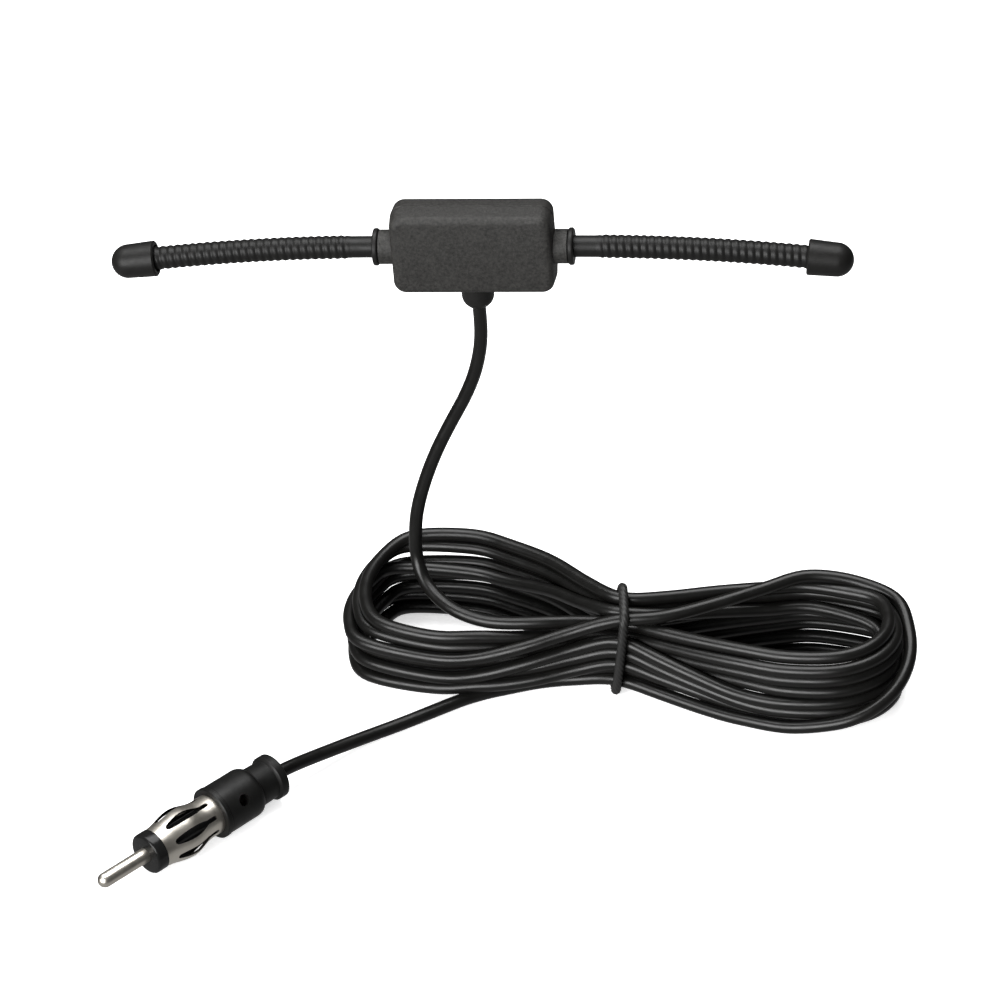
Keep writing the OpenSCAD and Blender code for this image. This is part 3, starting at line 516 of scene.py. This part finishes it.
class Nodes:
    """A material's node tree, with short calls for what the finishes share."""

    def __init__(self, name, color, rough, **inputs):
        self.material = bpy.data.materials.new(name)
        self.material.use_nodes = True
        self.tree = self.material.node_tree
        self.shader = self.tree.nodes["Principled BSDF"]
        self.feed(self.shader.inputs["Base Color"], color)
        self.feed(self.shader.inputs["Roughness"], rough)
        for key, value in inputs.items():
            self.feed(self.shader.inputs[key.replace("_", " ")], value)
        self.place = self.add("ShaderNodeTexCoord").outputs["Object"]
        self.bumps = None

    def feed(self, entry, value):
        """Links another node's output to an input, or gives the input a fixed value."""
        if isinstance(value, bpy.types.NodeSocket):
            self.tree.links.new(value, entry)
        else:
            entry.default_value = (*value, 1) if entry.type == "RGBA" else value

    def add(self, kind, entries=None, **settings):
        """A node with its settings, and its inputs by name or number."""
        node = self.tree.nodes.new(kind)
        for key, value in settings.items():
            setattr(node, key, value)
        for key, value in (entries or {}).items():
            self.feed(node.inputs[key], value)
        return node

    def noise(self, size, detail=3, rough=0.5):
        """Noise whose grain is about size millimetres."""
        entries = {"Vector": self.place, "Scale": 1 / (size * MM), "Detail": detail,
                   "Roughness": rough}
        return self.add("ShaderNodeTexNoise", entries).outputs["Fac"]

    def cells(self, size):
        """Distance from the middle of cells about size millimetres across."""
        entries = {"Vector": self.place, "Scale": 1 / (size * MM)}
        return self.add("ShaderNodeTexVoronoi", entries).outputs["Distance"]

    def vector(self, operation, source, value, out="Vector"):
        """Vector arithmetic with a fixed or a linked second value."""
        node = self.add("ShaderNodeVectorMath", {0: source, 1: value}, operation=operation)
        return node.outputs[out]

    def from_axis(self, origin, a, b):
        """Vector from an axis to the surface: the axis goes through origin, square to a and b."""
        offset = self.vector("SUBTRACT", self.place, [x * MM for x in origin])
        parts = []
        for direction in (a, b):
            far = self.vector("DOT_PRODUCT", offset, direction, "Value")
            part = self.add("ShaderNodeVectorMath", {0: direction, "Scale": far}, operation="SCALE")
            parts.append(part.outputs["Vector"])
        return self.vector("ADD", *parts)

    def ramp(self, source, low, high, to_low=0.0, to_high=1.0):
        """A value carried from one range to another, and kept within it."""
        entries = {"Value": source, "From Min": low, "From Max": high, "To Min": to_low,
                   "To Max": to_high}
        return self.add("ShaderNodeMapRange", entries).outputs["Result"]

    def color(self, source, dark, light):
        """Base colour between two colours, each fixed or linked."""
        entries = {"Factor": source, MIX_A: dark, MIX_B: light}
        result = self.add("ShaderNodeMix", entries, data_type="RGBA").outputs[MIX_RESULT]
        self.feed(self.shader.inputs["Base Color"], result)
        return result

    def rough(self, source, low, high):
        """Roughness between two values."""
        self.feed(self.shader.inputs["Roughness"], self.ramp(source, 0.3, 0.7, low, high))

    def bump(self, source, depth, strength=1.0):
        """Bump whose full height is depth millimetres, on top of the bumps before it."""
        entries = {"Strength": strength, "Distance": depth * MM, "Height": source}
        if self.bumps:
            entries["Normal"] = self.bumps
        self.bumps = self.add("ShaderNodeBump", entries).outputs["Normal"]
        self.feed(self.shader.inputs["Normal"], self.bumps)


def housing_plastic():
    m = Nodes("housing_plastic", (0.020, 0.0195, 0.0185), 0.5, Specular_IOR_Level=0.24)
    grain = m.ramp(m.noise(0.55, 4, 0.75), 0.32, 0.68)
    m.color(grain, (0.009, 0.0087, 0.0082), (0.034, 0.033, 0.031))
    m.rough(m.noise(2.2, 3), 0.42, 0.56)
    m.bump(m.noise(0.5, 4, 0.75), 0.16, 1.0)
    m.bump(m.noise(5, 2), 0.03, 0.4)
    return m.material


def moulded_rubber(name, color, rough, grain=0.18, depth=0.03):
    """Rubber or soft plastic, whose grain is given by its size and depth in millimetres."""
    m = Nodes(name, color, rough, Specular_IOR_Level=RUBBER_GLOSS)
    m.color(m.noise(1.1, 3), [c * 0.8 for c in color], [c * 1.3 for c in color])
    m.rough(m.noise(1.8, 3), rough - 0.06, rough + 0.06)
    m.bump(m.noise(grain, 3, 0.6), depth, 0.6)
    return m.material


def coax_jacket():
    m = Nodes("coax_jacket", (0.004, 0.0039, 0.0037), 0.33, Specular_IOR_Level=0.28)
    m.color(m.noise(6, 3), (0.003, 0.003, 0.0028), (0.006, 0.0058, 0.0054))
    m.rough(m.noise(2.4, 3), 0.28, 0.38)
    m.bump(m.noise(1.7, 2), 0.02, 0.5)
    m.bump(m.noise(0.16, 3, 0.6), 0.008, 0.5)
    return m.material


def nickel():
    """Plated brass, with painted shade on the inside, which shows dark through the slots."""
    m = Nodes("nickel_plate", (0.62, 0.585, 0.525), 0.36, Metallic=1.0)
    plate = m.color(m.noise(2.5, 3), (0.58, 0.545, 0.485), (0.66, 0.625, 0.565))
    radial = m.from_axis(PLUG_REAR, PLUG_SIDE, (0, 0, 1))
    normal = m.add("ShaderNodeNewGeometry").outputs["Normal"]
    outward = m.vector("DOT_PRODUCT", normal, radial, "Value")
    # Faces turned inward get a near-black colour: painted shade inside the sleeve
    m.color(m.ramp(outward, SHADED_INSIDE, OUTSIDE), (0.012, 0.011, 0.010), plate)
    m.rough(m.noise(1.2, 3), 0.33, 0.39)
    m.bump(m.noise(0.8, 2), 0.0012, 0.3)
    m.bump(m.noise(0.1, 2), 0.0006, 0.3)
    return m.material


def copper():
    m = Nodes("drawn_copper", (0.72, 0.34, 0.18), 0.28, Metallic=1.0)
    m.color(m.noise(0.8, 3), (0.62, 0.27, 0.14), (0.80, 0.42, 0.24))
    m.rough(m.noise(0.5, 3), 0.22, 0.36)
    m.bump(m.noise(0.12, 3), 0.006, 0.5)
    return m.material


def laminate():
    m = Nodes("board_laminate", (0.02, 0.11, 0.04), 0.35)
    m.color(m.noise(0.4, 2), (0.018, 0.10, 0.035), (0.03, 0.14, 0.055))
    m.rough(m.noise(1.0, 2), 0.3, 0.42)
    m.bump(m.noise(0.35, 2), 0.02, 0.4)
    return m.material


def ceramic():
    m = Nodes("chip_ceramic", (0.50, 0.38, 0.22), 0.4)
    m.color(m.noise(0.2, 2), (0.46, 0.34, 0.19), (0.55, 0.43, 0.27))
    m.bump(m.noise(0.1, 2), 0.01, 0.4)
    return m.material


def foam():
    m = Nodes("foam_pad", (0.035, 0.035, 0.037), 0.9)
    cells = m.cells(0.5)
    # The pits of the cells are painted darker: painted shade in the pores
    m.color(m.ramp(cells, 0.1, 0.7), (0.02, 0.02, 0.021), (0.055, 0.055, 0.058))
    m.bump(cells, 0.12, 0.7)
    return m.material


def twisted_cord():
    m = Nodes("tie_cord", (0.009, 0.009, 0.0085), 0.5, Specular_IOR_Level=0.35)
    m.color(m.noise(0.6, 3), (0.007, 0.007, 0.007), (0.016, 0.0155, 0.015))
    m.bump(m.noise(0.15, 3), 0.02, 0.6)
    return m.material


def stripped_coax(name, origin, a, b):
    """Core, dielectric, braid and jacket: the layers show by their distance from the axis."""
    m = Nodes(name, (0.012, 0.012, 0.012), 0.4)
    far = m.vector("LENGTH", m.from_axis(origin, a, b), (0, 0, 0), "Value")
    layers = m.add("ShaderNodeValToRGB", {"Fac": m.ramp(far, 0, LAYERS_REACH * MM)})
    layers.color_ramp.interpolation = "CONSTANT"
    stops = layers.color_ramp.elements
    for at, color in LAYERS:
        stop = stops[0] if at == 0 else stops.new(at / LAYERS_REACH)
        stop.color = (*color, 1)
    # A new ramp comes with a white stop at its end
    stops.remove(stops[-1])
    m.feed(m.shader.inputs["Base Color"], layers.outputs["Color"])
    m.rough(m.noise(0.5, 3), 0.34, 0.48)
    m.bump(m.noise(0.3, 2), 0.02, 0.5)
    return m.material


def make_materials():
    """The material of every piece and node, by name."""
    bush = moulded_rubber("bush_rubber", (0.0075, 0.0073, 0.007), 0.46)
    sleeve = moulded_rubber("sleeve_rubber", (0.006, 0.0059, 0.0057), 0.44, 0.3, 0.02)
    cap = moulded_rubber("cap_rubber", (0.0065, 0.0063, 0.006), 0.46, 0.35, 0.04)
    plug_rubber = moulded_rubber("plug_rubber", (0.005, 0.005, 0.0048), 0.46)
    plug_plastic = moulded_rubber("plug_plastic", (0.005, 0.005, 0.0048), 0.42, 0.25, 0.02)
    insulator = moulded_rubber("insulator_plastic", (0.007, 0.007, 0.007), 0.2, 0.4, 0.005)
    housing, plate, wire = housing_plastic(), nickel(), copper()
    board_layers = stripped_coax("coax_layers_board", (0, HOUSING_Y, 0), (1, 0, 0), (0, 1, 0))
    plug_layers = stripped_coax("coax_layers_plug", PLUG_REAR, PLUG_SIDE, (0, 0, 1))
    return {
        "rear_housing": housing, "front_cover": housing, "adhesive_pad": foam(),
        "circuit_board": laminate(), "matching_coil": wire, "chip_capacitors": ceramic(),
        "left_grommet": bush, "right_grommet": bush, "cable_gland": bush,
        "left_spring": wire, "right_spring": wire,
        "left_ribbed_sleeve": sleeve, "right_ribbed_sleeve": sleeve,
        "left_cap": cap, "right_cap": cap,
        "coax_board_end": board_layers, "coax_plug_end": plug_layers,
        "coax_cable": coax_jacket(), "tie_cord_loop": twisted_cord(),
        "plug_pin": plate, "plug_sleeve": plate, "plug_ferrule": plate,
        "plug_insulator": insulator, "plug_body": plug_plastic, "plug_tail": plug_rubber}


# The pieces

line = coax_line()
coax = make_coax(line)
tie = make_tie(line)
for side in ARM_LENGTH:
    make_sleeve(side)

WELD = 1e-6
CREASE = radians(32)
for name, material in make_materials().items():
    piece = bpy.data.objects[name]
    piece.data.materials.clear()
    piece.data.materials.append(material)
    if name in nodes:
        piece.data.shade_smooth()
        weld = piece.modifiers.new("weld", "WELD")
        weld.merge_threshold = WELD
        crease = piece.modifiers.new("crease", "EDGE_SPLIT")
        crease.split_angle = CREASE


# Floor, background and lights, in metres and watts

FLOOR_REACH = 3.0
FLOOR_WHITE = (0.9, 0.9, 0.9)
FLOOR_GLOW = 0.6
WORLD_LIGHT = 0.06
# Name, place, the point aimed at, size and power; the last one is what a pale table sends up
LIGHTS = [
    ("overhead", (-0.1, 0.25, 1.3), (0, 0, -0.05), (1.5, 1.0), 38),
    ("front", (-0.7, -1.4, 0.5), (0, 0, -0.03), (1.5, 0.9), 56),
    ("below", (0, 0, -0.7), (0, 0, 0), (3, 3), 10)]


def floor_white():
    m = Nodes("floor_white", FLOOR_WHITE, 0.7, Emission_Color=(1, 1, 1),
              Emission_Strength=FLOOR_GLOW)
    m.color(m.noise(40, 2), [c * 0.99 for c in FLOOR_WHITE], FLOOR_WHITE)
    return m.material


def make_floor():
    """A wide white floor that takes the contact shadow."""
    data = bpy.data.meshes.new("floor")
    size, z = FLOOR_REACH, FLOOR_Z * MM
    data.from_pydata([(-size, -size, z), (size, -size, z), (size, size, z), (-size, size, z)],
                     [], [(0, 1, 2, 3)])
    data.materials.append(floor_white())
    floor = bpy.data.objects.new("floor", data)
    bpy.context.scene.collection.objects.link(floor)
    # It sends no light back on the object, whose underside is dark in the photo
    floor.visible_diffuse = False
    floor.visible_glossy = False
    floor.visible_shadow = False


def make_light(name, place, aim, size, power):
    """A rectangular lamp turned toward the point aimed at."""
    data = bpy.data.lights.new(name, "AREA")
    data.shape = "RECTANGLE"
    data.size, data.size_y = size
    data.energy = power
    light = bpy.data.objects.new(name, data)
    light.location = place
    direction = Vector(aim) - light.location
    light.rotation_euler = direction.to_track_quat("-Z", "Y").to_euler()
    bpy.context.scene.collection.objects.link(light)


def make_world():
    """Even white light from all round."""
    world = bpy.data.worlds.new("studio")
    world.use_nodes = True
    world.node_tree.nodes["Background"].inputs["Color"].default_value = (1, 1, 1, 1)
    world.node_tree.nodes["Background"].inputs["Strength"].default_value = WORLD_LIGHT
    bpy.context.scene.world = world
    bpy.context.scene.view_settings.view_transform = "Standard"


make_floor()
make_world()
for light in LIGHTS:
    make_light(*light)
